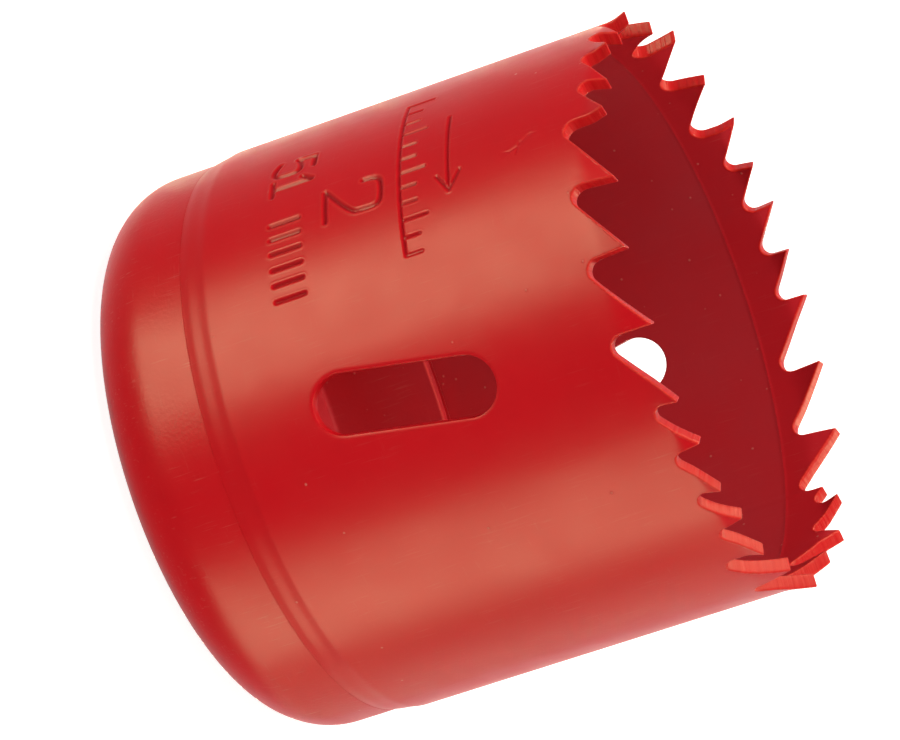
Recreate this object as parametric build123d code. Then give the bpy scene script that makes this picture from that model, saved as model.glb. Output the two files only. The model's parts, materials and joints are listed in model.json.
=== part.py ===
from build123d import *
from math import cos, radians, sin, tan
import os

# Hole saw: a toothed edge welded on a rolled tube, and a pressed end cap.
# Millimetres. The origin is the centre of the cap's flat back face, +Z runs
# along the axis to the teeth, and +X passes through the first slot.
# The saw cuts turning from +X to +Y.

# Body tube
CUT_DIAMETER = 51.0          # across the tips of the teeth that lean outwards
TOOTH_SET = 0.5              # lean of a tooth at its tip, out or in
WALL = 1.2
OVERALL_HEIGHT = 49.0
BODY_RADIUS = CUT_DIAMETER / 2 - TOOTH_SET
BODY_BORE_RADIUS = BODY_RADIUS - WALL

# Toothed edge
EDGE_HEIGHT = 5.1            # from the weld line to the tips
WELD_HEIGHT = OVERALL_HEIGHT - EDGE_HEIGHT
TOOTH_BACK_ANGLE = 35.5      # rise of a tooth's back, in degrees
COARSE_TO_FINE = 1.5         # pitch of a coarse tooth over that of a fine one
COARSE_GULLET_RADIUS = 1.0
FINE_GULLET_RADIUS = 0.8
SEAM_ANGLE = 132.0           # of the strip's welded ends
# One letter a tooth, C coarse and f fine, in the order of the turn from the
# seam. The strip repeats four of each, and the seam cuts its last tooth, s.
TOOTH_ORDER = "CCCffffCCCCffffCCCCffffCCCCfs"
CUT_TOOTH_SHARE = 0.5        # of a fine tooth's pitch that the seam leaves

# Rolled-in end of the tube
SEAT_HEIGHT = 10.0           # of the cap's shoulder, which the tube stands on
ROLL_DEPTH = 0.5             # how far the tube's end is rolled in
ROLL_LAND_DEPTH = 0.22       # the same at the land above the end
ROLL_FOOT_LENGTH = 0.8       # from the end to the land
ROLL_LAND_LENGTH = 0.9
ROLL_NECK_LENGTH = 0.7       # from the land to the tube's full diameter

# Slots in the tube
SLOT_LENGTH = 15.8
SLOT_WIDTH = 5.2
SLOT_SLANT = 10.0            # of the slot's long axis, in degrees
SLOT_OFFSET = 0.45           # of the slots above the middle of the tube
SLOT_HEIGHT = (SEAT_HEIGHT + WELD_HEIGHT) / 2 + SLOT_OFFSET
SLOT_ANGLES = (0.0, 171.4)
SLOT_RIM_CHAMFER = 0.3       # on the outside of the tube

# End cap
CAP_STEP = 0.4               # how far the cap's side lies inside the tube's
CAP_RADIUS = BODY_RADIUS - CAP_STEP
CAP_CORNER_RADIUS = 6.2
CAP_FLOOR_THICKNESS = 4.4
SKIRT_CLEARANCE = 0.05
SKIRT_WALL = 2.0
SKIRT_HEIGHT = 4.5           # above the shoulder
SKIRT_CHAMFER = 0.3
SKIRT_RADIUS = BODY_BORE_RADIUS - SKIRT_CLEARANCE
SKIRT_BORE_RADIUS = SKIRT_RADIUS - SKIRT_WALL
SKIRT_TOP = SEAT_HEIGHT + SKIRT_HEIGHT

# Arbor hole, threaded 5/8 inch, 18 threads to the inch, and drive-pin holes
ARBOR_THREAD_DIAMETER = 15.875
ARBOR_CHAMFER = 0.5
PIN_HOLE_DIAMETER = 6.5
PIN_WEB = 1.0                # between the arbor hole and a pin hole
PIN_CIRCLE_RADIUS = ARBOR_THREAD_DIAMETER / 2 + PIN_WEB + PIN_HOLE_DIAMETER / 2
PIN_COUNT = 4

# Allowances of the cutting solids
PAST = 1.0                   # how far a cutter runs past what it cuts
GULLET_OVERRUN = 0.05        # past the face of the tooth in front
RIM_TOLERANCE = 0.05         # when a slot's rim is looked for


def revolve_profile(profile, angle=360.0):
    """A solid of revolution from a closed outline of (radius, height)."""
    face = Plane.XZ * make_face(profile)
    return revolve(face, Axis.Z, angle)


def radial_plane(angle, radius, height):
    """A plane facing away from the axis, with its x along the turn."""
    a = radians(angle)
    outwards = (cos(a), sin(a), 0)
    along = (-sin(a), cos(a), 0)
    origin = (radius * cos(a), radius * sin(a), height)
    return Plane(origin=origin, x_dir=along, z_dir=outwards)


def tooth_list():
    """Each tooth's start angle, pitch, pitch as milled, gullet radius and lean."""
    shares = {"C": COARSE_TO_FINE, "f": 1.0, "s": CUT_TOOTH_SHARE}
    fine_pitch = 360.0 / sum(shares[kind] for kind in TOOTH_ORDER)
    teeth = []
    start = SEAM_ANGLE
    for index, kind in enumerate(TOOTH_ORDER):
        coarse = kind == "C"
        pitch = fine_pitch * shares[kind]
        milled = fine_pitch * COARSE_TO_FINE if coarse else fine_pitch
        gullet = COARSE_GULLET_RADIUS if coarse else FINE_GULLET_RADIUS
        lean = -TOOTH_SET if index % 2 else TOOTH_SET
        teeth.append((start, pitch, milled, gullet, lean))
        start += pitch
    return teeth


def gullet_floor(milled, gullet, lean):
    """Places along the turn of a tooth's tip and start, and its gullet's height."""
    half = radians(milled / 2)
    back = radians(TOOTH_BACK_ANGLE)
    tip_s = (BODY_RADIUS + lean) * sin(half)
    start_s = -BODY_RADIUS * sin(half) - GULLET_OVERRUN
    straight = tip_s - start_s - gullet * (1 + sin(back))
    depth = gullet * (1 - cos(back)) + straight * tan(back)
    return tip_s, start_s, OVERALL_HEIGHT - depth


def gullet_cutter(start_angle, milled, gullet, lean):
    """What is milled away above a tooth's back and round gullet."""
    back = radians(TOOTH_BACK_ANGLE)
    tip_s, start_s, floor = gullet_floor(milled, gullet, lean)
    centre = (start_s + gullet, floor + gullet)
    low = (centre[0], floor)
    start = (start_s, centre[1])
    meet = (centre[0] + gullet * sin(back), centre[1] - gullet * cos(back))
    end = (tip_s + PAST, OVERALL_HEIGHT + PAST * tan(back))
    top = end[1] + PAST
    outline = ThreePointArc(start, low, meet) + Polyline(
        meet, end, (end[0], top), (start_s - PAST, top), (start_s - PAST, centre[1]), start)
    depth = WALL + 2 * (TOOTH_SET + PAST)
    plane = radial_plane(start_angle + milled / 2, BODY_BORE_RADIUS - TOOTH_SET - PAST, 0)
    return extrude(plane * make_face(outline), depth)


def tooth_block(start_angle, pitch, milled, gullet, lean):
    """One tooth with its share of the strip, upright below and leaning above."""
    floor = gullet_floor(milled, gullet, lean)[2]
    bend = floor + gullet
    top = OVERALL_HEIGHT + PAST
    shift = lean * (top - bend) / (OVERALL_HEIGHT - bend)
    profile = Polyline(
        (BODY_BORE_RADIUS, WELD_HEIGHT), (BODY_RADIUS, WELD_HEIGHT), (BODY_RADIUS, bend),
        (BODY_RADIUS + shift, top), (BODY_BORE_RADIUS + shift, top),
        (BODY_BORE_RADIUS, bend), close=True)
    block = Rot(Z=start_angle) * revolve_profile(profile, pitch)
    return block - gullet_cutter(start_angle, milled, gullet, lean)


def make_tooth_edge():
    blocks = [tooth_block(*tooth) for tooth in tooth_list()]
    return blocks[0].fuse(*blocks[1:]).clean()


def slot_cutter(angle):
    """A slanted slot with round ends, right through the wall."""
    sketch = Rot(Z=90 - SLOT_SLANT) * SlotOverall(SLOT_LENGTH, SLOT_WIDTH)
    plane = radial_plane(angle, BODY_BORE_RADIUS - PAST, SLOT_HEIGHT)
    return extrude(plane * sketch, WALL + 2 * PAST)


def is_outer_slot_edge(edge, angle):
    """Whether an edge is a slot's rim on the outside of the tube."""
    plane = radial_plane(angle, BODY_RADIUS, SLOT_HEIGHT)
    reach = SLOT_LENGTH / 2 + PAST
    for t in (0.0, 0.5, 1.0):
        point = edge.position_at(t)
        away = plane.to_local_coords(point).length
        radius = Vector(point.X, point.Y, 0).length
        if away > reach or abs(radius - BODY_RADIUS) > RIM_TOLERANCE:
            return False
    return True


def make_saw_body():
    land_start = SEAT_HEIGHT + ROLL_FOOT_LENGTH
    land_end = land_start + ROLL_LAND_LENGTH
    land_radius = BODY_RADIUS - ROLL_LAND_DEPTH
    profile = Polyline(
        (BODY_BORE_RADIUS, SEAT_HEIGHT), (BODY_RADIUS - ROLL_DEPTH, SEAT_HEIGHT),
        (land_radius, land_start), (land_radius, land_end),
        (BODY_RADIUS, land_end + ROLL_NECK_LENGTH), (BODY_RADIUS, WELD_HEIGHT),
        (BODY_BORE_RADIUS, WELD_HEIGHT), close=True)
    tube = revolve_profile(profile)
    for angle in SLOT_ANGLES:
        tube -= slot_cutter(angle)
        rim = [edge for edge in tube.edges() if is_outer_slot_edge(edge, angle)]
        tube = chamfer(rim, SLOT_RIM_CHAMFER)
    return tube


def arbor_hole():
    """The threaded hole through the cap's floor, chamfered at the back."""
    radius = ARBOR_THREAD_DIAMETER / 2
    wide = radius + ARBOR_CHAMFER
    top = CAP_FLOOR_THICKNESS + PAST
    outline = Polyline(
        (0, -PAST), (wide, -PAST), (wide, 0), (radius, ARBOR_CHAMFER), (radius, top), (0, top),
        close=True)
    return revolve_profile(outline)


def make_end_cap():
    base = Line((0, 0), (CAP_RADIUS - CAP_CORNER_RADIUS, 0))
    corner = TangentArc(base @ 1, (CAP_RADIUS, CAP_CORNER_RADIUS), tangent=(1, 0))
    inside = Polyline(
        corner @ 1,
        (CAP_RADIUS, SEAT_HEIGHT),
        (SKIRT_RADIUS, SEAT_HEIGHT),
        (SKIRT_RADIUS, SKIRT_TOP - SKIRT_CHAMFER),
        (SKIRT_RADIUS - SKIRT_CHAMFER, SKIRT_TOP),
        (SKIRT_BORE_RADIUS, SKIRT_TOP),
        (SKIRT_BORE_RADIUS, CAP_FLOOR_THICKNESS),
        (0, CAP_FLOOR_THICKNESS),
        (0, 0))
    cap = revolve_profile(base + corner + inside)
    cap -= arbor_hole()
    pin_hole = extrude(Plane.XY * Circle(PIN_HOLE_DIAMETER / 2), CAP_FLOOR_THICKNESS + PAST, both=True)
    first_pin = 180.0 / PIN_COUNT
    for place in PolarLocations(PIN_CIRCLE_RADIUS, PIN_COUNT, start_angle=first_pin):
        cap -= place * pin_hole
    return cap


os.makedirs("parts", exist_ok=True)
export_step(make_tooth_edge(), "parts/tooth_edge.step")
export_step(make_saw_body(), "parts/saw_body.step")
export_step(make_end_cap(), "parts/end_cap.step")
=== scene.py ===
import json
import math

import bmesh
import bpy
import numpy as np
from mathutils import Matrix, Vector


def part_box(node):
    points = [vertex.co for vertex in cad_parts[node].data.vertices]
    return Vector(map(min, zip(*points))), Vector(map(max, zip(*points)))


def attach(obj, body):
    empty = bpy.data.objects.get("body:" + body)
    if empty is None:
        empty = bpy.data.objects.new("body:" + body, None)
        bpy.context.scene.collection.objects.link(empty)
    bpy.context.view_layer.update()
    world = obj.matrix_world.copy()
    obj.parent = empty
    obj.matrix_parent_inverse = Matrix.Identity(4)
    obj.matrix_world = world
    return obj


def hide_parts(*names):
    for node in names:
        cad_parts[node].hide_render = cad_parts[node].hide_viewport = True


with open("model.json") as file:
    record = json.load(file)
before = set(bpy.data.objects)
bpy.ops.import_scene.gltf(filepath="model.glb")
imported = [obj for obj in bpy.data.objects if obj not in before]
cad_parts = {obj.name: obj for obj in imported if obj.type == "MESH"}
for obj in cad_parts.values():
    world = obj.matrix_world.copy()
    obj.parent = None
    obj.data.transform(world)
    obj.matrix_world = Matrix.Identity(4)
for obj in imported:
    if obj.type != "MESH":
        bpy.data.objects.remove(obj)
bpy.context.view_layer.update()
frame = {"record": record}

# Hole saw, standing on its cap. Meshes are worked out in millimetres, in the
# frame of the solids, and become metres when they are made. An arc is a length
# along the tube's outside, from the first slot towards the way of turning.
MM = 0.001

# Sizes taken from the frame
tube_low, tube_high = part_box("saw_body")
edge_low, edge_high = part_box("tooth_edge")
_, cap_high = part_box("end_cap")
mounts = {mount["name"]: mount for mount in frame["record"]["mounts"]}
RADIUS = tube_high.x / MM
AROUND = 2 * math.pi * RADIUS
SEAT = tube_low.z / MM
WELD = edge_low.z / MM
TIPS = edge_high.z / MM
CAP_RADIUS = cap_high.x / MM
SKIRT_TOP = cap_high.z / MM
ARBOR_RADIUS = mounts["arbor_thread"]["dims"]["r_mm"]
PIN_CIRCLE = mounts["drive_pin_holes"]["dims"]["pcd_mm"] / 2
PIN_RADIUS = mounts["drive_pin_holes"]["dims"]["hole_r_mm"]
PIN_COUNT = mounts["drive_pin_holes"]["dims"]["count"]

# Tube
WALL = 1.2
BORE = RADIUS - WALL
SLOT_LENGTH, SLOT_WIDTH = 15.8, 5.2
SLOT_SLANT = math.radians(10)
SLOT_HEIGHT = 27.4
SLOT_ANGLES = (0.0, 171.4)
SLOT_BURR = 0.12              # rounding of a slot's inner rim
# The slots' outer rim, punched inwards: a wide bend and then a tight one, each
# with its radius and the angles where it starts and ends
RIM_BENDS = ((0.96, 0, 20), (0.05, 20, 90))
RIM_THIN_PAINT = 0.4          # on both rims
# The rolled-in end: height above the seat, and depth below the full radius
ROLL_LINE = ((0.0, 0.43), (0.7, 0.27), (1.6, 0.16), (2.4, 0.0))
ROLL_SMOOTH = 0.2
ROLL_SAMPLES = 7
ROLL_REACH = 2.7              # up to where the smoothed line has ended
ROLL_TOP = SEAT + ROLL_REACH
TUBE_END_ROUND = 0.01
END_THIN_PAINT = 0.15         # on the tube's end and the cap's shoulder

# Low ridges of weld under the paint
BEAD_HEIGHT = 0.03            # inside
WELD_BEAD_SPREAD = 0.14
SEAM_BEAD_SPREAD = 0.3
SEAM_ANGLE = math.radians(132.0)      # of the strip's welded ends
SEAM_RIDGE_HEIGHT = 0.02      # outside
SEAM_RIDGE_SPREAD = 0.4

# Teeth. The seam, where their order starts, cuts the last one short.
TOOTH_SET = 0.5
TOOTH_ORDER = "CCCffffCCCCffffCCCCffffCCCCfs"
TOOTH_SHARE = {"C": 1.5, "f": 1.0, "s": 0.5}
MILLED_SHARE = {"C": 1.5, "f": 1.0, "s": 1.0}
TOOTH_BACK_ANGLE = math.radians(35.5)
GULLET = {"C": 1.0, "f": 0.8, "s": 0.8}
TIP_ROUND = 0.1
PAINT_ROUND = 0.15            # rounding of the painted edges of a tooth
FOOT_SHIFT = 1.1 * PAINT_ROUND        # of the lines down a tooth's wall, so that none cross
LEAN_CURVE = 1.15             # how the lean grows with height, 1 for straight
RAKE_SHARE = 0.18             # of a tooth's foot that its front face leads to
# From a tooth's sharp tip down to where a rounding of unit radius meets its front
CORNER_SHARE = 1 / math.tan((math.pi / 2 - TOOTH_BACK_ANGLE) / 2)
MITRE_LIMIT = 2.4             # how far a sharp corner may move for a unit of inset
SHORTEST_STEP = 1e-9          # along the outline, so that a step can be divided by
INSIDE_OF_TEETH = 0.5         # how far a tooth's inner face counts as inside

# Cap
CAP_CORNER = 6.2
CAP_SHOULDER_ROUND = 0.02
CAP_FLOOR = 4.4
CAP_FLOOR_ROUND = 0.45
SKIRT_CLEARANCE = 0.05
SKIRT_WALL = 2.0
SKIRT_RADIUS = BORE - SKIRT_CLEARANCE
SKIRT_BORE = SKIRT_RADIUS - SKIRT_WALL
SKIRT_OUTER_ROUND = 0.3
SKIRT_INNER_ROUND = 0.25
PIN_ROUND = 0.3
ARBOR_CHAMFER = 0.45
THREAD_PITCH = 25.4 / 18
THREAD_DEPTH = 0.72
THREAD_CREST = 0.2            # flat crest's share of the pitch

# Mesh lines
CELL = 0.9                    # side of a cell of the tube's mesh
FINE = 9                      # cells across a cell where the tube is stamped
JOIN_GRID = 2e-4              # corners that round to one place on it are joined
SHARP_ANGLE = math.radians(38)
ROUND_STEPS = [math.radians(a) for a in (0, 22.5, 45, 67.5, 90)]
SEAM_LINES = (-0.6, -0.4, -0.2, 0, 0.2, 0.4, 0.6)     # arcs from the seam
WELD_LINES = (0, 0.08, 0.16, 0.26, 0.4, 0.6)          # depths below the weld
ROLL_LINES = 24               # over the height of the rolled-in end
SLOT_PATCH = (4.8, 9.2)       # half sides of the cells left out round a slot
SLOT_FINE = 4                 # points round a slot for each cell beside it
SLOT_RINGS = (0.72, 0.42, 0.2, 0.06)
STAMP_BLOCKS = (((-31.5, -8.0), (16.4, 38.0)), ((-21.5, -14.5), (39.0, 43.4)))
ARC_STEPS, BACK_STEPS, RAKE_STEPS, TIP_STEPS = 9, 12, 8, 3
WALL_SHARES = (0.33, 0.67)    # lines across a milled face
# Shares of the way from a tooth's outline down to the weld
TOOTH_ROWS = (0.0, 0.03, 0.08, 0.16, 0.28, 0.42, 0.56, 0.68, 0.78, 0.86, 0.91, 0.94, 0.96, 0.98, 1.0)
BEAD_ROW = 0.16               # where the bead has its full height on a tooth
CAP_SECTORS = 252
PIN_PATCH_CELLS = 36          # across a pin hole's patch, along the turn
PIN_PATCH_REACH = 17.2        # its outer radius
PIN_RINGS = (0.7, 0.4, 0.15, 0.04)
NEAR_RADII, FAR_RADII = 12, 3         # lines of a flat face inside that radius and outside
CORNER_STEPS, FLOOR_ROUND_STEPS = 25, 6
# Lines that keep the cap's shading even: below the shoulder, up the skirt from
# the seat, and up its bore from the floor
SHOULDER_LINE, SKIRT_LINE, BORE_LINE = 1.5, 2.0, 3.0
THREAD_LEVELS = 61

# Marks on the corners for the materials
# edge: thin paint on an edge, or where negative, painted shade in a groove
# cut: a milled face
# run: millimetres along the milled outline
# inner: the inside of the saw
MARKS = ("edge", "cut", "run", "inner")

# Camera, fitted to the outline of the tube and the tips of the teeth
CAMERA_TILT = math.radians(18.198)     # of the saw's axis towards the viewer
CAMERA_ROLL = math.radians(18.506)     # of the axis above the picture's right
CAMERA_TURN = math.radians(-1.734)     # of the first slot about the axis
CAMERA_AWAY = 0.5                      # along the view, from the centre of the cap's back
CAMERA_SHIFT = (-0.020777, -0.00858)   # of that centre, to the right and up in the view
CAMERA_CLIP = (0.01, 20)
FOCAL_PIXELS = 5780.1
PICTURE_WIDTH = 900
SENSOR = 36.0


class Skin:
    """The corners and faces of one closed piece, in millimetres."""

    def __init__(self):
        self.points = []
        self.marks = []
        self.quads = []
        self.triangles = []
        self.count = 0

    def add(self, points, edge=0.0, cut=0.0, run=0.0, inner=0.0):
        """Adds a table of points and returns the table of their numbers."""
        points = np.asarray(points, float)
        shape = points.shape[:-1]
        columns = [np.broadcast_to(np.asarray(mark, float), shape) for mark in (edge, cut, run, inner)]
        self.points.append(points.reshape(-1, 3))
        self.marks.append(np.stack(columns, -1).reshape(-1, len(MARKS)))
        first = self.count
        self.count += len(self.points[-1])
        return np.arange(first, self.count).reshape(shape)

    def grid(self, table, skip=None):
        """Faces between the neighbours in a table of points."""
        faces = np.stack([table[:-1, :-1], table[1:, :-1], table[1:, 1:], table[:-1, 1:]], -1)
        if skip is not None:
            faces = faces[~skip]
        self.quads.append(faces.reshape(-1, 4))

    def band(self, table):
        """The same, with the last column joined to the first."""
        self.grid(np.concatenate([table, table[:, :1]], 1))

    def quad(self, *corners):
        self.quads.append(np.array([corners]))

    def fan(self, first, last, line):
        """Triangles between one side of a cell and a finer line of points."""
        middle = len(line) // 2
        rows = [(first, line[i], line[i + 1]) for i in range(middle)]
        rows.append((first, last, line[middle]))
        rows += [(last, line[i], line[i + 1]) for i in range(middle, len(line) - 1)]
        self.triangles.append(np.array(rows))

    def build(self, name):
        """Makes the Blender object, with the corners that lie together joined."""
        points = np.concatenate(self.points)
        marks = np.concatenate(self.marks)
        keys = np.round(points / JOIN_GRID).astype(np.int64)
        _, first, number = np.unique(keys, axis=0, return_index=True, return_inverse=True)
        number = number.reshape(-1)
        faces = []
        for block in self.quads + self.triangles:
            for face in number[block].tolist():
                corners = [c for i, c in enumerate(face) if c != face[i - 1]]
                if len(set(corners)) >= 3:
                    faces.append(corners)
        mesh = bpy.data.meshes.new(name)
        mesh.from_pydata((points[first] * MM).tolist(), [], faces)
        for column, label in enumerate(MARKS):
            layer = mesh.attributes.new(label, "FLOAT", "POINT")
            layer.data.foreach_set("value", marks[first][:, column].astype(np.float32))
        work = bmesh.new()
        work.from_mesh(mesh)
        loose = [v for v in work.verts if not v.link_faces]
        bmesh.ops.delete(work, geom=loose, context="VERTS")
        bmesh.ops.recalc_face_normals(work, faces=work.faces)
        work.to_mesh(mesh)
        work.free()
        mesh.shade_smooth()
        mesh.set_sharp_from_angle(angle=SHARP_ANGLE)
        return link_object(name, mesh)


def link_object(name, data):
    made = bpy.data.objects.new(name, data)
    bpy.context.scene.collection.objects.link(made)
    return made


# Places and lines
def polar(angle, radius, height):
    """Points about the saw's axis."""
    x, y, z = np.broadcast_arrays(radius * np.cos(angle), radius * np.sin(angle), height)
    return np.stack([x, y, z], -1)


def wrapped(arc, height, radius):
    """Points on a round wall, from arcs."""
    return polar(np.asarray(arc) / RADIUS, radius, height)


def mix(a, b, t):
    """The point a share t of the way from a to b."""
    return (a[0] + (b[0] - a[0]) * t, a[1] + (b[1] - a[1]) * t)


def even_lines(marks, cell):
    """Numbers from the first mark to the last, through each mark, in even cells."""
    lines = [marks[0]]
    for low, high in zip(marks, marks[1:]):
        steps = max(1, round((high - low) / cell))
        lines += [low + (high - low) * (i + 1) / steps for i in range(steps)]
    return np.array(lines)


def line_at(lines, value):
    """The number of the line nearest to a value."""
    return int(np.argmin(np.abs(lines - value)))


def border(table, i0, i1, j0, j1):
    """What a table holds round a block of cells, in order."""
    sides = [table[i0:i1, j0], table[i1, j0:j1], table[i1:i0:-1, j1], table[i0, j1:j0:-1]]
    return np.concatenate(sides)


def ridge(distance, height, spread):
    """Height of a low round ridge, at a distance from its middle."""
    return height * np.exp(-(distance / spread) ** 2)


def rounding(radius):
    """Rows round a convex edge: distance from the wall, depth below the face, and mark."""
    rows = []
    for a in ROUND_STEPS:
        rows.append((radius * (1 - math.sin(a)), radius * (1 - math.cos(a)), math.sin(2 * a)))
    return rows


def slot_rim():
    """The same rows for the outer rim of a slot, with a mark on the tight bend."""
    wide_bend, tight_bend = RIM_BENDS
    rows = [(0.0, 0.0, 0.0)]
    for bend in (wide_bend, tight_bend):
        radius, first, last = bend
        steps = [math.radians(a) for a in np.linspace(first, last, len(ROUND_STEPS))]
        for a, b in zip(steps, steps[1:]):
            across = rows[-1][0] + radius * (math.sin(b) - math.sin(a))
            down = rows[-1][1] + radius * (math.cos(a) - math.cos(b))
            rows.append((across, down, math.sin(2 * b) if bend is tight_bend else 0.0))
    reach = rows[-1][0]
    return [(reach - across, down, mark) for across, down, mark in rows]


# Stamped figures and marks
def smooth(points, steps=14):
    """A curve from the first point to the last that bends towards those between."""
    line = []
    for i in range(len(points) - 2):
        a = points[0] if i == 0 else mix(points[i], points[i + 1], 0.5)
        b = points[-1] if i == len(points) - 3 else mix(points[i + 1], points[i + 2], 0.5)
        for t in np.linspace(0, 1, steps):
            line.append(mix(mix(a, points[i + 1], t), mix(points[i + 1], b, t), t))
    return line


# Strokes of the plain figures, one unit high
FIGURES = {
    "1": (
        [(0.08, 0.74), (0.28, 1.0), (0.28, 0.0)],
        [(0.02, 0.0), (0.52, 0.0)]),
    "2": (
        smooth([
            (0.0, 0.70), (0.0, 1.0), (0.32, 1.03), (0.64, 1.0), (0.64, 0.70), (0.62, 0.44), (0.0, 0.02)]),
        [(0.0, 0.0), (0.66, 0.0)]),
    "5": (
        [(0.46, 1.0), (0.06, 1.0), (0.03, 0.56)],
        smooth([
            (0.03, 0.56), (0.2, 0.66), (0.52, 0.66), (0.54, 0.32), (0.50, -0.02),
            (0.2, -0.02), (0.0, 0.10)])),
}
# Each figure with the arc and height of its lower left corner, and its size
STAMPED_FIGURES = (("5", -26.55, 18.65, 3.65), ("1", -23.95, 18.65, 3.65), ("2", -20.25, 23.65, 5.0))
# The rest as places of (arc, height): a row of bars, a scale of plain ticks,
# an arrow that shows the way the saw turns, and a nick in the paint
BAR_ARCS = (-18.55, -17.05, -15.55, -13.95, -12.45, -10.95)
BAR_HEIGHTS = (18.6, 21.2)
SCALE_ARCS = (-29.45, -11.15)
SCALE_LINE = 30.45
TICKS = 12
LONG_TICK_EVERY = 3
LONG_TICK, SHORT_TICK = 2.3, 1.45
ARROW_SHAFT = ((-24.85, 34.85), (-15.95, 34.85))
ARROW_HEAD = ((-17.75, 35.9), (-15.95, 34.85), (-17.75, 33.8))
NICK = ((-17.55, 40.1), (-18.05, 41.2), (-18.85, 42.1), (-19.15, 42.8))
NICK_BRANCH = ((-17.25, 41.0), (-18.45, 41.35))

# Width and depth of the grooves
FIGURE_GROOVE = (0.56, 0.2)
SCALE_GROOVE = (0.42, 0.14)
NICK_GROOVE = (0.36, 0.06)
NICK_BRANCH_GROOVE = (0.26, 0.06)

# The metal raised beside a groove: height as a share of the groove's depth,
# and place and spread as shares of half its width
BURR_SHARE = 0.14
BURR_PLACE = 1.3
BURR_SPREAD = 0.3
# Paint on the stamped relief: thin from this height up to a limit, and
# painted shade in the grooves from this depth on, over this span
THIN_PAINT_HEIGHT = 0.04
THIN_PAINT_LIMIT = 0.6
GROOVE_SHADE_START = 0.03
GROOVE_SHADE_SPAN = 0.1


def stamp_strokes():
    """Grooves stamped in the tube: points of (arc, height), and width and depth."""
    strokes = []
    for figure, arc, height, size in STAMPED_FIGURES:
        for line in FIGURES[figure]:
            strokes.append(([(arc + u * size, height + v * size) for u, v in line], FIGURE_GROOVE))
    for arc in BAR_ARCS:
        strokes.append(([(arc, height) for height in BAR_HEIGHTS], FIGURE_GROOVE))
    strokes.append(([(arc, SCALE_LINE) for arc in SCALE_ARCS], SCALE_GROOVE))
    for i, arc in enumerate(np.linspace(*SCALE_ARCS, TICKS)):
        length = SHORT_TICK if i % LONG_TICK_EVERY else LONG_TICK
        strokes.append(([(arc, SCALE_LINE), (arc, SCALE_LINE + length)], SCALE_GROOVE))
    strokes.append((ARROW_SHAFT, SCALE_GROOVE))
    strokes.append((ARROW_HEAD, SCALE_GROOVE))
    strokes.append((NICK, NICK_GROOVE))
    strokes.append((NICK_BRANCH, NICK_BRANCH_GROOVE))
    return strokes


def distance_to_line(arc, height, line):
    """Distance of each point in two tables from a line through given points."""
    away = np.full(arc.shape, np.inf)
    for (a0, h0), (a1, h1) in zip(line, line[1:]):
        squared = (a1 - a0) ** 2 + (h1 - h0) ** 2
        if squared == 0:
            continue
        t = np.clip(((arc - a0) * (a1 - a0) + (height - h0) * (h1 - h0)) / squared, 0, 1)
        away = np.minimum(away, np.hypot(arc - a0 - t * (a1 - a0), height - h0 - t * (h1 - h0)))
    return away


def stamp_relief(arc, height):
    """How deep the tube's face lies below its round, at tables of points."""
    relief = np.zeros(arc.shape)
    for line, (width, depth) in stamp_strokes():
        x = distance_to_line(arc, height, line) / (width / 2)
        groove = depth * np.clip(1 - x, 0, 1)
        burr = ridge(x - BURR_PLACE, -BURR_SHARE * depth, BURR_SPREAD)
        relief = np.where(groove > 0, np.maximum(relief, groove), relief + burr)
    return relief


# Tube
def tube_radius(height):
    """Radius of the tube's outside, rolled in at its end."""
    heights, depths = np.array(ROLL_LINE).T
    spread = np.linspace(-ROLL_SMOOTH, ROLL_SMOOTH, ROLL_SAMPLES)
    depth = np.mean([np.interp(height - SEAT + d, heights, depths) for d in spread], axis=0)
    end = np.clip(SEAT + TUBE_END_ROUND - height, 0, TUBE_END_ROUND)
    return RADIUS - depth - (TUBE_END_ROUND - np.sqrt(TUBE_END_ROUND ** 2 - end ** 2))


def seam_distance(arc):
    """Arc from the strip's welded seam."""
    return (arc - SEAM_ANGLE * RADIUS + AROUND / 2) % AROUND - AROUND / 2


def weld_bead(arc, height):
    """How far the welds stand proud inside, under the paint."""
    weld = ridge(height - WELD, BEAD_HEIGHT, WELD_BEAD_SPREAD)
    return np.maximum(weld, ridge(seam_distance(arc), BEAD_HEIGHT, SEAM_BEAD_SPREAD))


def slot_point(arc, height, centre, offset):
    """Where a point, seen from a slot's middle line, meets the line round it."""
    along = (math.sin(SLOT_SLANT), math.cos(SLOT_SLANT))
    half = (SLOT_LENGTH - SLOT_WIDTH) / 2
    t = np.clip((arc - centre) * along[0] + (height - SLOT_HEIGHT) * along[1], -half, half)
    a = centre + t * along[0]
    h = SLOT_HEIGHT + t * along[1]
    away = np.hypot(arc - a, height - h)
    reach = SLOT_WIDTH / 2 + offset
    return a + (arc - a) / away * reach, h + (height - h) / away * reach


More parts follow.
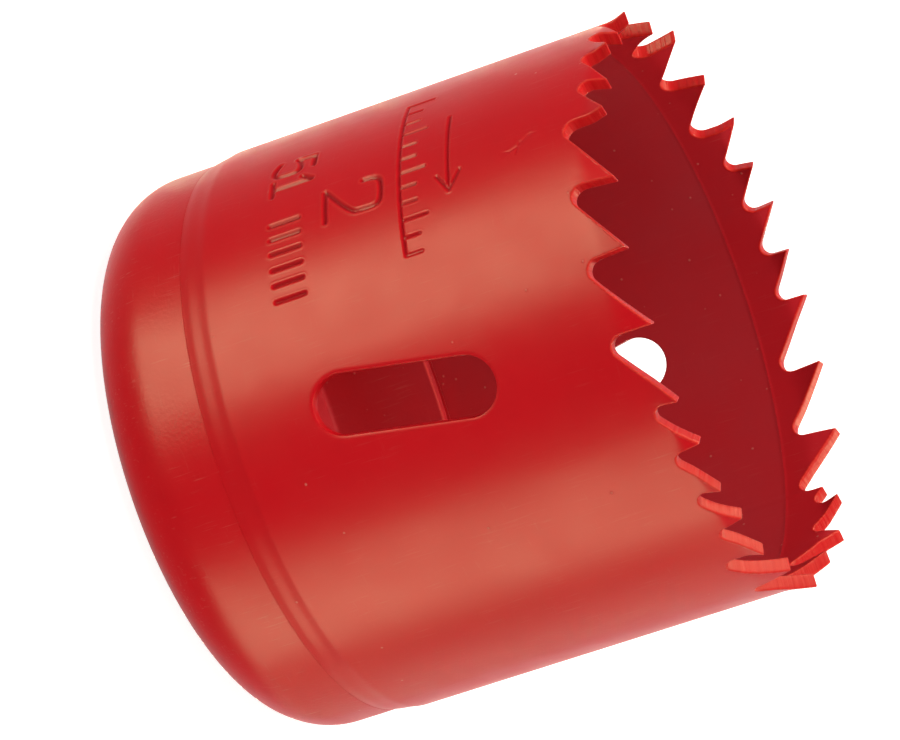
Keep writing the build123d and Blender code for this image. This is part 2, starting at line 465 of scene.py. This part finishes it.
def slot_patch(skin, outer_loop, inner_loop, arc, height, centre):
    """The wall round a slot, between the cells that stop beside it."""
    count = len(arc)
    t = np.arange(count * SLOT_FINE) / SLOT_FINE
    arc = np.interp(t, np.arange(count + 1), np.append(arc, arc[0]))
    height = np.interp(t, np.arange(count + 1), np.append(height, height[0]))
    rows = []

    def flat_rows(offset, radius, shares):
        a, h = slot_point(arc, height, centre, offset)
        for share in shares:
            rows.append((a + (arc - a) * share, h + (height - h) * share, radius, 0.0))

    def rim_row(offset, radius, mark):
        rows.append((*slot_point(arc, height, centre, offset), radius, mark))

    rim = slot_rim()
    flat_rows(rim[0][0], RADIUS, SLOT_RINGS)
    for offset, depth, mark in rim:
        rim_row(offset, RADIUS - depth, mark)
    for offset, depth, mark in reversed(rounding(SLOT_BURR)):
        rim_row(offset, BORE + depth, mark)
    flat_rows(SLOT_BURR, BORE, SLOT_RINGS[::-1])
    points = np.array([wrapped(a, h, radius) for a, h, radius, mark in rows])
    edge = np.array([RIM_THIN_PAINT * mark for a, h, radius, mark in rows])
    inner = np.array([float(radius < BORE + SLOT_BURR) for a, h, radius, mark in rows])
    table = skin.add(points, edge=edge[:, None], inner=inner[:, None])
    skin.band(table)
    for loop, row in ((outer_loop, table[0]), (inner_loop, table[-1])):
        for i in range(count):
            line = [row[(i * SLOT_FINE + k) % len(row)] for k in range(SLOT_FINE + 1)]
            skin.fan(loop[i], loop[(i + 1) % count], line)


def fine_lines(lines, low, high):
    """The lines from one number to another, with finer ones between them."""
    cells = [np.linspace(lines[k], lines[k + 1], FINE, endpoint=False) for k in range(low, high)]
    return np.concatenate([*cells, [lines[high]]])


def stamp_block(skin, table, arcs, heights, block):
    """A block of cells divided finely, with the stamped relief."""
    i0, i1, j0, j1 = block
    fine_arcs = fine_lines(arcs, i0 + 1, i1 - 1)
    fine_heights = fine_lines(heights, j0 + 1, j1 - 1)
    arc, height = np.meshgrid(fine_arcs, fine_heights, indexing="ij")
    relief = stamp_relief(arc, height)
    thin = np.clip(-relief / THIN_PAINT_HEIGHT, 0, THIN_PAINT_LIMIT)
    # Painted shade in the grooves' cores, carried by the negative edge mark
    groove_shade = np.clip((relief - GROOVE_SHADE_START) / GROOVE_SHADE_SPAN, 0, 1)
    inside = skin.add(wrapped(arc, height, RADIUS - relief), edge=thin - groove_shade)
    skin.grid(inside)
    for i in range(i0 + 1, i1 - 1):
        span = slice((i - i0 - 1) * FINE, (i - i0) * FINE + 1)
        skin.fan(table[i, j0], table[i + 1, j0], inside[span, 0])
        skin.fan(table[i, j1], table[i + 1, j1], inside[span, -1])
    for j in range(j0 + 1, j1 - 1):
        span = slice((j - j0 - 1) * FINE, (j - j0) * FINE + 1)
        skin.fan(table[i0, j], table[i0, j + 1], inside[0, span])
        skin.fan(table[i1, j], table[i1, j + 1], inside[-1, span])
    skin.quad(table[i0, j0], table[i0 + 1, j0], inside[0, 0], table[i0, j0 + 1])
    skin.quad(table[i1, j0], table[i1, j0 + 1], inside[-1, 0], table[i1 - 1, j0])
    skin.quad(table[i1, j1], table[i1 - 1, j1], inside[-1, -1], table[i1, j1 - 1])
    skin.quad(table[i0, j1], table[i0, j1 - 1], inside[0, -1], table[i0 + 1, j1])


def tube_lines(centres):
    """The arcs and heights of the tube's mesh lines."""
    start = STAMP_BLOCKS[0][0][0]
    arc_marks = {start, start + AROUND} | {SEAM_ANGLE * RADIUS + d for d in SEAM_LINES}
    height_marks = {ROLL_TOP} | {WELD - d for d in WELD_LINES}
    for side in (-1, 1):
        arc_marks |= {centre + side * SLOT_PATCH[0] for centre in centres}
        height_marks.add(SLOT_HEIGHT + side * SLOT_PATCH[1])
    for arc_span, _ in STAMP_BLOCKS:
        arc_marks |= set(arc_span)
    end = [SEAT + TUBE_END_ROUND * (1 - math.cos(a)) for a in ROUND_STEPS]
    roll = np.linspace(SEAT + TUBE_END_ROUND, ROLL_TOP, ROLL_LINES)[1:-1]
    wall = even_lines(sorted(height_marks), CELL)
    return even_lines(sorted(arc_marks), CELL), np.concatenate([end, roll, wall])


def make_tube():
    skin = Skin()
    centres = [math.radians(a) * RADIUS for a in SLOT_ANGLES]
    arcs, heights = tube_lines(centres)
    arc, height = np.meshgrid(arcs, heights, indexing="ij")
    bottom = np.clip((SEAT + TUBE_END_ROUND - height) / TUBE_END_ROUND, 0, 1)
    seam = ridge(seam_distance(arc), SEAM_RIDGE_HEIGHT, SEAM_RIDGE_SPREAD)
    outer_points = wrapped(arc, height, tube_radius(height) + seam)
    outer = skin.add(outer_points, edge=END_THIN_PAINT * np.sin(math.pi * bottom))
    inner = skin.add(wrapped(arc, height, BORE - weld_bead(arc, height)), inner=1.0)
    # Cells that give way to the slots and to the finer ones of the stamps
    skip_outer = np.zeros((len(arcs) - 1, len(heights) - 1), bool)
    skip_inner = skip_outer.copy()
    for centre in centres:
        i0, i1 = (line_at(arcs, centre + side * SLOT_PATCH[0]) for side in (-1, 1))
        j0, j1 = (line_at(heights, SLOT_HEIGHT + side * SLOT_PATCH[1]) for side in (-1, 1))
        skip_outer[i0:i1, j0:j1] = True
        skip_inner[i0:i1, j0:j1] = True
        around_slot = [border(table, i0, i1, j0, j1) for table in (outer, inner, arc, height)]
        slot_patch(skin, *around_slot, centre)
    for arc_span, height_span in STAMP_BLOCKS:
        i0, i1 = (line_at(arcs, a) for a in arc_span)
        j0, j1 = (line_at(heights, h) for h in height_span)
        skip_outer[i0:i1, j0:j1] = True
        stamp_block(skin, outer, arcs, heights, (i0, i1, j0, j1))
    skin.grid(outer, skip_outer)
    skin.grid(inner, skip_inner)
    for column in (0, -1):
        skin.grid(np.stack([outer[:, column], inner[:, column]]))
    return skin.build("tube")


# Toothed edge
def tooth_list():
    """Each tooth's arc of the tip, width, gullet radius, gullet floor, lean and top."""
    unit = AROUND / sum(TOOTH_SHARE[kind] for kind in TOOTH_ORDER)
    slope = math.tan(TOOTH_BACK_ANGLE)
    tip = SEAM_ANGLE * RADIUS
    teeth = []
    for index, kind in enumerate(TOOTH_ORDER):
        width = unit * TOOTH_SHARE[kind]
        milled = unit * MILLED_SHARE[kind]
        gullet = GULLET[kind]
        tip += width
        straight = milled - gullet * (1 + math.sin(TOOTH_BACK_ANGLE))
        floor = TIPS - gullet * (1 - math.cos(TOOTH_BACK_ANGLE)) - straight * slope
        lean = -TOOTH_SET if index % 2 else TOOTH_SET
        top = TIPS - (milled - width) * slope
        teeth.append((tip, width, gullet, floor, lean, top))
    return teeth


def tooth_outline(start, tip, top, gullet, floor, foot):
    """A tooth's gullet, back and rounded tip as points, and its straight rake."""
    corner = TIP_ROUND * CORNER_SHARE
    back = []
    for a in np.linspace(-math.pi / 2, TOOTH_BACK_ANGLE, ARC_STEPS):
        back.append((start + gullet + gullet * math.sin(a), floor + gullet - gullet * math.cos(a)))
    low = back[-1]
    high = (tip - corner * math.cos(TOOTH_BACK_ANGLE), top - corner * math.sin(TOOTH_BACK_ANGLE))
    back += [mix(low, high, t) for t in np.linspace(0, 1, BACK_STEPS + 1)[1:]]
    centre = (tip - TIP_ROUND, top - corner)
    for a in np.linspace(math.pi / 2 + TOOTH_BACK_ANGLE, 0, TIP_STEPS + 2)[1:-1]:
        back.append((centre[0] + TIP_ROUND * math.cos(a), centre[1] + TIP_ROUND * math.sin(a)))
    rake = [(tip, height) for height in np.linspace(top - corner, foot, RAKE_STEPS)[:-1]]
    return back, rake


def tooth_line():
    """The milled outline's points, each with what its tooth's wall needs.

    A row has the arc, the height, the arc of the point's foot on the weld,
    the lean, the height where the lean starts, and the tip's arc and height.
    """
    teeth = tooth_list()
    rows = []
    for index, (tip, width, gullet, floor, lean, top) in enumerate(teeth):
        _, _, next_gullet, next_floor, _, _ = teeth[(index + 1) % len(teeth)]
        foot = next_floor + next_gullet
        bend = max(floor + gullet, foot)
        start = tip - width
        heel = tip - RAKE_SHARE * width
        back, rake = tooth_outline(start, tip, top, gullet, floor, foot)
        for arc, height in back:
            at_foot = start + (arc - start) / width * (heel - start)
            rows.append((arc, height, at_foot, lean, bend, tip, top))
        for k, (arc, height) in enumerate(rake, 1):
            at_foot = heel + k / RAKE_STEPS * (tip - heel)
            rows.append((arc, height, at_foot, lean, bend, tip, top))
    return np.array(rows)


def leaned(arc, height, radius, lean, bend):
    """Points of a tooth's wall, tipped out or in above its bend."""
    rise = np.clip((height - bend) / (TIPS - bend), 0, 1) ** LEAN_CURVE
    return wrapped(arc, height, radius + lean * rise)


def outline_insets(arc, height):
    """Length along a closed outline, and how each point moves for a unit of inset."""
    step = np.stack([np.diff(arc, append=arc[0] + AROUND), np.diff(height, append=height[0])], -1)
    length = np.maximum(np.linalg.norm(step, axis=1), SHORTEST_STEP)
    run = np.concatenate([[0.0], np.cumsum(length)[:-1]])
    ahead = step / length[:, None]
    behind = np.roll(ahead, 1, axis=0)
    normal = np.stack([ahead[:, 1] + behind[:, 1], -ahead[:, 0] - behind[:, 0]], -1)
    size = np.linalg.norm(normal, axis=1)
    mitre = np.minimum(2 / size, MITRE_LIMIT)
    return run, normal / size[:, None] * mitre[:, None]


def make_teeth():
    skin = Skin()
    arc, height, foot, lean, bend, tip, top = tooth_line().T
    run, move = outline_insets(arc, height)

    def inset_line(inset):
        a = np.minimum(arc + move[:, 0] * inset, tip - inset)
        h = np.minimum(height + move[:, 1] * inset, top - inset * CORNER_SHARE)
        return a, h

    # The milled faces, from the outside to the inside
    loops = [(offset, RADIUS - depth, mark) for offset, depth, mark in rounding(PAINT_ROUND)]
    loops += [(0.0, RADIUS - share * WALL, 0.0) for share in WALL_SHARES]
    loops += [(offset, BORE + depth, mark) for offset, depth, mark in reversed(rounding(PAINT_ROUND))]
    points = np.array([leaned(*inset_line(inset), radius, lean, bend) for inset, radius, mark in loops])
    edge = np.array([mark for inset, radius, mark in loops])
    skin.band(skin.add(points, edge=edge[:, None], cut=1.0, run=run[None, :]))

    # Both walls, from the outline down to the weld
    a0, h0 = inset_line(PAINT_ROUND)
    foot -= FOOT_SHIFT
    feet = []
    for radius, inner in ((RADIUS, 0.0), (BORE, INSIDE_OF_TEETH)):
        rows = []
        for t in TOOTH_ROWS:
            a = a0 + (foot - a0) * t
            h = h0 + (WELD - h0) * t
            bead = weld_bead(a, h) * min(1, t / BEAD_ROW) if inner else 0.0
            rows.append(leaned(a, h, radius - bead, lean, bend))
        side = skin.add(np.array(rows), run=run[None, :], inner=inner)
        skin.band(side)
        feet.append(side[-1])
    skin.band(np.stack(feet))
    return skin.build("toothed_edge")


# Cap
def thread_radius(angle, height):
    """Radius of the threaded arbor hole, cut away at both chamfers."""
    phase = (height / THREAD_PITCH - angle / (2 * math.pi)) % 1.0
    flank = (1 - THREAD_CREST) / 2
    ridges = np.clip((0.5 - np.abs(phase - 0.5)) / flank, 0, 1)
    lead = np.minimum(height, CAP_FLOOR - height)
    return np.maximum(ARBOR_RADIUS - THREAD_DEPTH * ridges, ARBOR_RADIUS + ARBOR_CHAMFER - lead)


def pin_patch(skin, loop, corners, centre, height, inwards):
    """A flat floor round a pin hole, down to the start of the hole's wall."""
    away = corners - centre
    reach = np.linalg.norm(away, axis=1)[:, None]
    direction = away / reach
    wide = PIN_RADIUS + PIN_ROUND
    rows = []
    marks = []

    def row(distance, level, mark):
        rows.append(np.column_stack([centre + direction * distance, np.full(len(loop), level)]))
        marks.append(mark)

    for share in PIN_RINGS:
        row(wide + (reach - wide) * share, height, 0.0)
    for offset, depth, mark in rounding(PIN_ROUND):
        row(PIN_RADIUS + offset, height + inwards * depth, mark)
    table = skin.add(np.array(rows), edge=np.array(marks)[:, None], inner=float(height > 0))
    skin.band(np.concatenate([loop[None, :], table]))
    return table[-1]


def cap_floor(skin, height, inwards, reach):
    """A flat face of the cap from the arbor hole to a radius, with pin holes.

    Returns the lines where the pin holes' walls start.
    """
    angles = np.linspace(0, 2 * math.pi, CAP_SECTORS + 1)
    near_radii = np.linspace(ARBOR_RADIUS + ARBOR_CHAMFER, PIN_PATCH_REACH, NEAR_RADII)
    far_radii = np.linspace(PIN_PATCH_REACH, reach, FAR_RADII)[1:]
    radii = np.concatenate([near_radii, far_radii])
    angle, radius = np.meshgrid(angles, radii, indexing="ij")
    points = polar(angle, radius, height)
    table = skin.add(points, inner=float(height > 0))
    skip = np.zeros((CAP_SECTORS, len(radii) - 1), bool)
    last = NEAR_RADII - 1
    walls = []
    for k in range(PIN_COUNT):
        # A pin hole sits on the mesh line nearest to its place, within half a sector
        middle = round((k + 0.5) * CAP_SECTORS / PIN_COUNT)
        block = (middle - PIN_PATCH_CELLS // 2, middle + PIN_PATCH_CELLS // 2, 0, last)
        skip[block[0]:block[1], :last] = True
        centre = polar(angles[middle], PIN_CIRCLE, height)[:2]
        corners = border(points, *block)[:, :2]
        walls.append(pin_patch(skin, border(table, *block), corners, centre, height, inwards))
    skin.grid(table, skip)
    return walls


def cap_profile(back_reach):
    """The cap's outline from its flat back to its floor: radius, height and two marks."""
    profile = []
    for a in np.linspace(0, math.pi / 2, CORNER_STEPS):
        profile.append((back_reach + CAP_CORNER * math.sin(a), CAP_CORNER * (1 - math.cos(a)), 0.0, 0.0))
    profile.append((CAP_RADIUS, SEAT - SHOULDER_LINE, 0.0, 0.0))
    for offset, depth, mark in reversed(rounding(CAP_SHOULDER_ROUND)):
        profile.append((CAP_RADIUS - depth, SEAT - offset, END_THIN_PAINT * mark, 0.0))
    profile.append((SKIRT_RADIUS, SEAT, 0.0, 1.0))
    profile.append((SKIRT_RADIUS, SEAT + SKIRT_LINE, 0.0, 1.0))
    for offset, depth, mark in reversed(rounding(SKIRT_OUTER_ROUND)):
        profile.append((SKIRT_RADIUS - depth, SKIRT_TOP - offset, mark, 1.0))
    for offset, depth, mark in rounding(SKIRT_INNER_ROUND):
        profile.append((SKIRT_BORE + offset, SKIRT_TOP - depth, mark, 1.0))
    profile.append((SKIRT_BORE, CAP_FLOOR + BORE_LINE, 0.0, 1.0))
    for a in np.linspace(0, math.pi / 2, FLOOR_ROUND_STEPS):
        radius = SKIRT_BORE - CAP_FLOOR_ROUND * (1 - math.cos(a))
        height = CAP_FLOOR + CAP_FLOOR_ROUND * (1 - math.sin(a))
        profile.append((radius, height, 0.0, 1.0))
    return profile


def make_cap():
    skin = Skin()
    back_reach = CAP_RADIUS - CAP_CORNER
    back_walls = cap_floor(skin, 0.0, 1, back_reach)
    top_walls = cap_floor(skin, CAP_FLOOR, -1, SKIRT_BORE - CAP_FLOOR_ROUND)
    for low, high in zip(back_walls, top_walls):
        skin.band(np.stack([low, high]))
    angles = np.linspace(0, 2 * math.pi, CAP_SECTORS + 1)
    radii, heights, edge, inner = np.array(cap_profile(back_reach)).T
    points = polar(angles[:, None], radii[None, :], heights[None, :])
    skin.grid(skin.add(points, edge=edge[None, :], inner=inner[None, :]))
    angle, height = np.meshgrid(angles, np.linspace(0, CAP_FLOOR, THREAD_LEVELS), indexing="ij")
    skin.grid(skin.add(polar(angle, thread_radius(angle, height), height)))
    return skin.build("cap")


# Materials
class Nodes:
    """The nodes of a material or world, with short ways to add to them."""

    def __init__(self, owner, output):
        owner.use_nodes = True
        self.tree = owner.node_tree
        self.tree.nodes.clear()
        self.surface = self.tree.nodes.new(output).inputs["Surface"]

    def put(self, value, socket):
        """Links another node's output to a socket, or sets the socket's value."""
        if isinstance(value, bpy.types.NodeSocket):
            self.tree.links.new(value, socket)
        else:
            socket.default_value = value

    def add(self, kind, **values):
        """Adds a node. Each value is for one of its settings, or else for a socket."""
        made = self.tree.nodes.new(kind)
        for key, value in values.items():
            if hasattr(made, key):
                setattr(made, key, value)
            else:
                self.put(value, made.inputs[key.replace("_", " ")])
        return made

    def join(self, kind, sockets, **settings):
        """Adds a node whose inputs are filled by their numbers."""
        made = self.add(kind, **settings)
        for number, value in sockets.items():
            self.put(value, made.inputs[number])
        return made

    def calculate(self, operation, first, second):
        return self.join("ShaderNodeMath", {0: first, 1: second}, operation=operation).outputs[0]

    def times(self, first, second):
        return self.calculate("MULTIPLY", first, second)

    def plus(self, first, second):
        return self.calculate("ADD", first, second)

    def between(self, value, low, high):
        """Low where a value is 0, and high where it is 1."""
        return self.plus(low, self.times(value, high - low))

    def blend(self, factor, first, second):
        """Mixes two colours."""
        return self.join("ShaderNodeMix", {0: factor, 6: first, 7: second}, data_type="RGBA").outputs[2]

    def mix_shaders(self, factor, first, second):
        return self.join("ShaderNodeMixShader", {0: factor, 1: first, 2: second}).outputs[0]

    def place(self, stretch=None):
        """The place on the object, in metres, or its product with three factors."""
        spot = self.add("ShaderNodeTexCoord").outputs["Object"]
        if stretch is None:
            return spot
        return self.join("ShaderNodeVectorMath", {0: spot, 1: stretch}, operation="MULTIPLY").outputs[0]

    def noise(self, scale, detail=2.0, rough=0.5, vector=None):
        """A soft noise over the object, or over the values of a vector."""
        if vector is None:
            vector = self.place()
        made = self.add("ShaderNodeTexNoise", Vector=vector, Scale=scale, Detail=detail, Roughness=rough)
        return made.outputs["Fac"]

    def ramp(self, source, stops):
        """A level that changes with a value, from one stop to the other."""
        made = self.add("ShaderNodeValToRGB", Fac=source)
        for element, (value, level) in zip(made.color_ramp.elements, stops):
            element.position = value
            element.color = (level, level, level, 1)
        return made.outputs["Color"]

    def mark(self, label):
        return self.add("ShaderNodeAttribute", attribute_name=label).outputs["Fac"]

    def white_to_the_eye(self):
        """1 for camera, glossy and transmission rays, and 0 for the rest."""
        path = self.add("ShaderNodeLightPath").outputs
        seen = self.calculate("MAXIMUM", path["Is Camera Ray"], path["Is Glossy Ray"])
        return self.calculate("MAXIMUM", seen, path["Is Transmission Ray"])


# Enamel in its colours: plain, thin on edges, deep, painted shade for grooves, a duller inside and milled
ENAMEL = (0.61, 0.004, 0.013, 1)
ENAMEL_THIN = (0.80, 0.085, 0.05, 1)
ENAMEL_DEEP = (0.51, 0.003, 0.010, 1)
# Painted shade: a dark red for the cores of the stamped grooves
PAINTED_GROOVE_SHADE = (0.24, 0.002, 0.008, 1)
# A duller, greyer and darker red for the inside of the saw
ENAMEL_INSIDE = (0.53, 0.044, 0.062, 1)
ENAMEL_MILLED = (0.66, 0.022, 0.022, 1)
DUST = (0.75, 0.32, 0.27, 1)
ENAMEL_IOR = 1.12             # below real paint's, so that the ground mirrors less
ROUGHNESS = (0.30, 0.37)
NOISE_RANGE = (0.3, 0.7)      # that most of a noise lies in

# Cells of each texture to the metre
CLOUDS = 60
GLOSS_CLOUDS = 250
SCRATCHED_PATCHES = 300
ORANGE_PEEL = 700
EDGE_WEAR = 900
SPECKS = 1500
GRAIN = 3200
SCRATCHES = 4200
SHALLOW_SCRATCHES = 1500
MILLING = 2.4                 # to the millimetre of the milled outline

# Factors of the place, which draw a texture out along the axis or across it
ALONG_AXIS = (1.0, 1.0, 0.07)
ALONG_AXIS_SHALLOW = (1.0, 1.0, 0.08)
ACROSS_AXIS = (0.1, 0.1, 1.0)
SCRATCH_ROUGH = 0.6

# Where each texture starts and ends, as values with their levels
CLOUD_RAMP = ((0.35, 0.0), (0.7, 1.0))
ALONG_RAMP = ((0.60, 0.0), (0.72, 1.0))
ACROSS_RAMP = ((0.64, 0.0), (0.74, 1.0))
PATCH_RAMP = ((0.42, 0.0), (0.6, 1.0))
DOT_RAMP = ((0.08, 1.0), (0.22, 0.0))
BAND_RAMP = ((0.40, 0.0), (0.60, 1.0))

# Heights in metres
ORANGE_PEEL_HEIGHT = 6e-6
SCRATCH_HEIGHT = 3e-5
SPECK_HEIGHT = 3e-5
MILLING_HEIGHT = 3e-5

# Shares of the colours, the pairs for the least and the most
DEEP_SHARE = 0.35
INSIDE_SHARE = (0.6, 1.0)
MILLED_PAINT_SHARE = (0.35, 0.85)
THIN_SHARE = (0.08, 0.38)
SPECK_SHARE = 0.42
# How far the grooves' cores take the painted shade
GROOVE_SHADE_SHARE = 0.6
ACROSS_SHARE = 0.5
INNER_DUST = 11               # how many more specks the inside has, as a multiple


def scratch_lines(nodes):
    """Fine lines along the axis, and fewer and fainter ones across it, in patches."""
    along = nodes.noise(SCRATCHES, rough=SCRATCH_ROUGH, vector=nodes.place(ALONG_AXIS))
    across = nodes.noise(SCRATCHES, rough=SCRATCH_ROUGH, vector=nodes.place(ACROSS_AXIS))
    along = nodes.ramp(along, ALONG_RAMP)
    across = nodes.ramp(across, ACROSS_RAMP)
    patch = nodes.ramp(nodes.noise(SCRATCHED_PATCHES, detail=1.0), PATCH_RAMP)
    return nodes.times(patch, nodes.plus(along, nodes.times(across, ACROSS_SHARE)))


def dust_specks(nodes, inner, dust):
    """Round specks in some cells, a share of dust outside and more inside."""
    cells = nodes.add("ShaderNodeTexVoronoi", Scale=SPECKS, Vector=nodes.place()).outputs
    draw = nodes.add("ShaderNodeTexWhiteNoise", Vector=cells["Position"]).outputs["Value"]
    dot = nodes.ramp(cells["Distance"], DOT_RAMP)
    share = nodes.plus(dust, nodes.times(inner, INNER_DUST * dust))
    return nodes.times(dot, nodes.calculate("LESS_THAN", draw, share))


def milling_bands(nodes):
    """Bands across the milled faces, one after another along the outline."""
    line = nodes.add("ShaderNodeCombineXYZ", X=nodes.mark("run")).outputs["Vector"]
    return nodes.ramp(nodes.noise(MILLING, vector=line), BAND_RAMP)


def enamel(name, grain, scratches, dust, milled=False):
    """Satin red enamel with orange peel, grain, fine scratches and dust."""
    made = bpy.data.materials.new(name)
    nodes = Nodes(made, "ShaderNodeOutputMaterial")
    times, plus, noise, blend = nodes.times, nodes.plus, nodes.noise, nodes.blend
    inner = nodes.mark("inner")
    edge = nodes.mark("edge")
    scratch = scratch_lines(nodes)
    speck = dust_specks(nodes, inner, dust)

    # Colour: slow clouds, a duller inside, and then what lies on the paint
    cloud = nodes.ramp(noise(CLOUDS, detail=3.0), CLOUD_RAMP)
    colour = blend(times(cloud, DEEP_SHARE), ENAMEL, ENAMEL_DEEP)
    # The inside takes a duller, greyer and darker red, more of it where the clouds are
    colour = blend(times(inner, nodes.between(cloud, *INSIDE_SHARE)), colour, ENAMEL_INSIDE)
    colour = blend(times(scratch, scratches), colour, DUST)
    colour = blend(times(speck, SPECK_SHARE), colour, DUST)
    if milled:
        cut = nodes.mark("cut")
        bands = milling_bands(nodes)
        colour = blend(times(cut, nodes.between(bands, *MILLED_PAINT_SHARE)), colour, ENAMEL_MILLED)
    thin = nodes.calculate("MAXIMUM", edge, 0.0)
    groove_shade = nodes.calculate("MAXIMUM", times(edge, -GROOVE_SHADE_SHARE), 0.0)
    colour = blend(times(thin, nodes.between(noise(EDGE_WEAR), *THIN_SHARE)), colour, ENAMEL_THIN)
    # Painted shade: the cores of the stamped grooves darkened
    colour = blend(groove_shade, colour, PAINTED_GROOVE_SHADE)

    # Gloss
    rough = nodes.add(
        "ShaderNodeMapRange", Value=noise(GLOSS_CLOUDS, detail=3.0), From_Min=NOISE_RANGE[0],
        From_Max=NOISE_RANGE[1], To_Min=ROUGHNESS[0], To_Max=ROUGHNESS[1])

    # Relief
    shallow = noise(SHALLOW_SCRATCHES, rough=SCRATCH_ROUGH, vector=nodes.place(ALONG_AXIS_SHALLOW))
    relief = plus(times(noise(ORANGE_PEEL), ORANGE_PEEL_HEIGHT), times(noise(GRAIN), grain))
    relief = plus(relief, times(shallow, scratches * SCRATCH_HEIGHT))
    relief = plus(relief, times(speck, SPECK_HEIGHT))
    if milled:
        relief = plus(relief, times(times(bands, cut), MILLING_HEIGHT))
    bump = nodes.add("ShaderNodeBump", Strength=1.0, Distance=1.0, Height=relief)

    shader = nodes.add(
        "ShaderNodeBsdfPrincipled", Base_Color=colour, Roughness=rough.outputs["Result"],
        IOR=ENAMEL_IOR, Normal=bump.outputs["Normal"])
    nodes.put(shader.outputs["BSDF"], nodes.surface)
    return made


# Surroundings
WHITE = (1, 1, 1, 1)
FLOOR_SIZE = 6.0
FLOOR_COLOUR = (0.8, 0.8, 0.8, 1)
FLOOR_GLOW = 0.89             # what the floor shows in full shadow
AMBIENT = 0.3
AMBIENT_COLOUR = (1.0, 0.98, 0.95, 1)
LAMP_AWAY = 0.75
WARM = (1.0, 0.84, 0.66)
SHEEN_COLOUR = (0.88, 0.75, 0.45)
# Each lamp's degrees round and up from the saw, size in metres and power in watts
SHEEN_LAMPS = {
    "left_sheen": (-42, -20, (0.55, 0.4), 47),
    "right_sheen": (66, -20, (0.55, 0.4), 32),
    "low_sheen": (114, -20, (0.55, 0.4), 2),
    "far_sheen": (-168, -20, (0.55, 0.4), 1.2),
    "top_sheen": (-125, 66, (0.8, 0.6), 34),
    "back_sheen": (143, 33, (0.3, 0.3), 7),
}
SOFT_BOXES = {
    "top_box": (-40, 70, (0.6, 0.6), 5.4),
    "side_box": (92, 4, (0.6, 0.6), 2.5),
}


def make_floor():
    half = FLOOR_SIZE / 2
    corners = [(-half, -half, 0), (half, -half, 0), (half, half, 0), (-half, half, 0)]
    mesh = bpy.data.meshes.new("floor")
    mesh.from_pydata(corners, [], [(0, 1, 2, 3)])
    floor = link_object("floor", mesh)
    paper = bpy.data.materials.new("floor_paper")
    nodes = Nodes(paper, "ShaderNodeOutputMaterial")
    matt = nodes.add("ShaderNodeBsdfDiffuse", Color=FLOOR_COLOUR).outputs[0]
    glow = nodes.add("ShaderNodeEmission", Color=WHITE, Strength=FLOOR_GLOW).outputs[0]
    both = nodes.join("ShaderNodeAddShader", {0: matt, 1: glow}).outputs[0]
    nodes.put(nodes.mix_shaders(nodes.white_to_the_eye(), matt, both), nodes.surface)
    mesh.materials.append(paper)
    # The sheen lamps shine through the floor
    floor.visible_shadow = False


def make_world():
    world = bpy.data.worlds.new("studio")
    bpy.context.scene.world = world
    nodes = Nodes(world, "ShaderNodeOutputWorld")
    ambient = nodes.add("ShaderNodeBackground", Color=AMBIENT_COLOUR, Strength=AMBIENT).outputs[0]
    white = nodes.add("ShaderNodeBackground", Color=WHITE, Strength=1.0).outputs[0]
    nodes.put(nodes.mix_shaders(nodes.white_to_the_eye(), ambient, white), nodes.surface)


def make_lamp(name, azimuth, elevation, size, power, colour):
    """A soft box that faces the saw."""
    light = bpy.data.lights.new(name, "AREA")
    light.shape = "RECTANGLE"
    light.size, light.size_y = size
    light.energy = power
    light.color = colour
    a = math.radians(azimuth)
    e = math.radians(elevation)
    direction = Vector((math.cos(a) * math.cos(e), math.sin(a) * math.cos(e), math.sin(e)))
    lamp = link_object(name, light)
    lamp.location = Vector((0, 0, TIPS / 2 * MM)) + direction * LAMP_AWAY
    lamp.rotation_euler = direction.to_track_quat("Z", "Y").to_euler()
    return lamp


def make_lamps():
    """Lamps that only show as a sheen, some from under the floor, and soft boxes."""
    for name, place in SHEEN_LAMPS.items():
        lamp = make_lamp(name, *place, SHEEN_COLOUR)
        lamp.visible_diffuse = False
        lamp.data.cycles.use_multiple_importance_sampling = False
    for name, place in SOFT_BOXES.items():
        make_lamp(name, *place, WARM)


def make_camera():
    """Sees the saw as the photograph does, from how its axis lies in the picture."""
    axis = Vector((
        math.cos(CAMERA_TILT) * math.cos(CAMERA_ROLL),
        math.cos(CAMERA_TILT) * math.sin(CAMERA_ROLL),
        math.sin(CAMERA_TILT)))
    near = (Vector((0, 0, 1)) - axis * axis.z).normalized()
    side = axis.cross(near)
    x = near * math.cos(CAMERA_TURN) + side * math.sin(CAMERA_TURN)
    to_saw = Matrix((x, axis.cross(x), axis))
    eye = to_saw @ -Vector((*CAMERA_SHIFT, -CAMERA_AWAY))
    data = bpy.data.cameras.new("camera")
    data.sensor_width = SENSOR
    data.lens = FOCAL_PIXELS / PICTURE_WIDTH * SENSOR
    data.clip_start, data.clip_end = CAMERA_CLIP
    camera = link_object("camera", data)
    camera.matrix_world = Matrix.Translation(eye) @ to_saw.to_4x4()
    bpy.context.scene.camera = camera


make_camera()
finishes = {
    "body_enamel": enamel("red_enamel_tube", grain=5e-6, scratches=0.04, dust=0.006),
    "edge_enamel": enamel("red_enamel_teeth", grain=4e-6, scratches=0.05, dust=0.008, milled=True),
    "cap_enamel": enamel("red_enamel_cap", grain=1.4e-5, scratches=0.12, dust=0.01),
}
for piece, node_name, slot in (
        (make_tube(), "saw_body", "body_enamel"),
        (make_teeth(), "tooth_edge", "edge_enamel"),
        (make_cap(), "end_cap", "cap_enamel")):
    piece.data.materials.append(finishes[slot])
    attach(piece, "root")
    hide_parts(node_name)

make_floor()
make_world()
make_lamps()
bpy.context.scene.view_settings.view_transform = "Standard"
